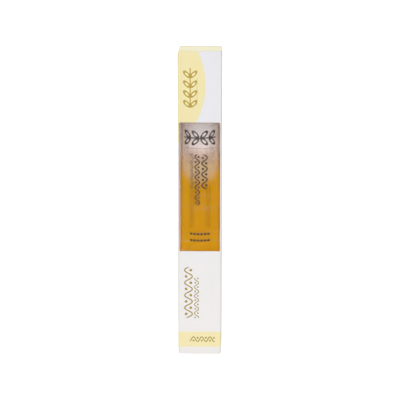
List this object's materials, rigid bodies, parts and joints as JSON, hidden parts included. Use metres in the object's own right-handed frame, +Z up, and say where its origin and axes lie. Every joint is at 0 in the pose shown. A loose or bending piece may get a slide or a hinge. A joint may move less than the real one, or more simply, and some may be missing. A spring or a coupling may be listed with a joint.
{
  "type": "cuticle oil bottle in a windowed carton",
  "caption": "Slim round glass roll-on bottle of amber oil, capped, in a tall tuck-end folding carton with a film window in its front.",
  "frame": {"origin": "centre of the bounding box's underside, under the middle of the carton's base", "axes": "+Z up along the carton; the window faces -Y; +X is to the right of someone who looks at the window"},
  "size_m": [0.022, 0.0226, 0.156],
  "materials": {
    "board": "satin",
    "film": "gloss",
    "glass": "polished",
    "oil": "gloss",
    "natural_plastic": "satin",
    "steel": "polished",
    "white_plastic": "satin",
    "gold_shell": "satin"
  },
  "bodies": {
    "carton": {"carton_front": "board", "carton_back": "board", "carton_left": "board", "carton_right": "board", "carton_glue_flap": "board", "window_film": "film"},
    "top_lid": {"top_lid": "board"},
    "top_tongue": {"top_tongue": "board"},
    "top_dust_left": {"top_dust_flap_left": "board"},
    "top_dust_right": {"top_dust_flap_right": "board"},
    "bottom_lid": {"bottom_lid": "board"},
    "bottom_tongue": {"bottom_tongue": "board"},
    "bottom_dust_left": {"bottom_dust_flap_left": "board"},
    "bottom_dust_right": {"bottom_dust_flap_right": "board"},
    "bottle": {"glass_bottle": "glass", "oil_fill": "oil", "roller_housing": "natural_plastic"},
    "ball": {"roller_ball": "steel"},
    "cap": {"cap_liner": "white_plastic", "cap_shell": "gold_shell"}
  },
  "joints": [
    {"name": "top_lid_fold", "type": "hinge", "parent": "carton", "child": "top_lid", "pos_m": [0, 0.01125, 0.156], "axis": [-1, 0, 0], "range_deg": [0, 120]},
    {"name": "top_tongue_fold", "type": "hinge", "parent": "top_lid", "child": "top_tongue", "pos_m": [0, -0.00985, 0.1556], "axis": [1, 0, 0], "range_deg": [0, 60]},
    {"name": "top_dust_left_fold", "type": "hinge", "parent": "carton", "child": "top_dust_left", "pos_m": [-0.011, 0, 0.1553], "axis": [0, -1, 0], "range_deg": [0, 90]},
    {"name": "top_dust_right_fold", "type": "hinge", "parent": "carton", "child": "top_dust_right", "pos_m": [0.011, 0, 0.1553], "axis": [0, 1, 0], "range_deg": [0, 90]},
    {"name": "bottom_lid_fold", "type": "hinge", "parent": "carton", "child": "bottom_lid", "pos_m": [0, 0.01125, 0], "axis": [1, 0, 0], "range_deg": [0, 120]},
    {"name": "bottom_tongue_fold", "type": "hinge", "parent": "bottom_lid", "child": "bottom_tongue", "pos_m": [0, -0.00985, 0.0004], "axis": [-1, 0, 0], "range_deg": [0, 60]},
    {"name": "bottom_dust_left_fold", "type": "hinge", "parent": "carton", "child": "bottom_dust_left", "pos_m": [-0.011, 0, 0.0007], "axis": [0, 1, 0], "range_deg": [0, 90]},
    {"name": "bottom_dust_right_fold", "type": "hinge", "parent": "carton", "child": "bottom_dust_right", "pos_m": [0.011, 0, 0.0007], "axis": [0, -1, 0], "range_deg": [0, 90]},
    {"name": "bottle_lift", "type": "slide", "parent": "carton", "child": "bottle", "axis": [0, 0, 1], "range_m": [0, 0.0015]},
    {"name": "ball_roll", "type": "hinge", "parent": "bottle", "child": "ball", "pos_m": [0, 0.00045, 0.13624], "axis": [1, 0, 0], "continuous": true},
    {"name": "cap_turn", "type": "hinge", "parent": "bottle", "child": "cap", "pos_m": [0, 0.00045, 0.1249], "axis": [0, 0, 1], "range_deg": [0, 450]}
  ],
  "couplings": [
    {"joint": "top_tongue_fold", "follows": "top_lid_fold", "ratio": 0.5},
    {"joint": "top_dust_left_fold", "follows": "top_lid_fold", "ratio": 0.75},
    {"joint": "top_dust_right_fold", "follows": "top_lid_fold", "ratio": 0.75},
    {"joint": "bottom_tongue_fold", "follows": "bottom_lid_fold", "ratio": 0.5},
    {"joint": "bottom_dust_left_fold", "follows": "bottom_lid_fold", "ratio": 0.75},
    {"joint": "bottom_dust_right_fold", "follows": "bottom_lid_fold", "ratio": 0.75}
  ]
}
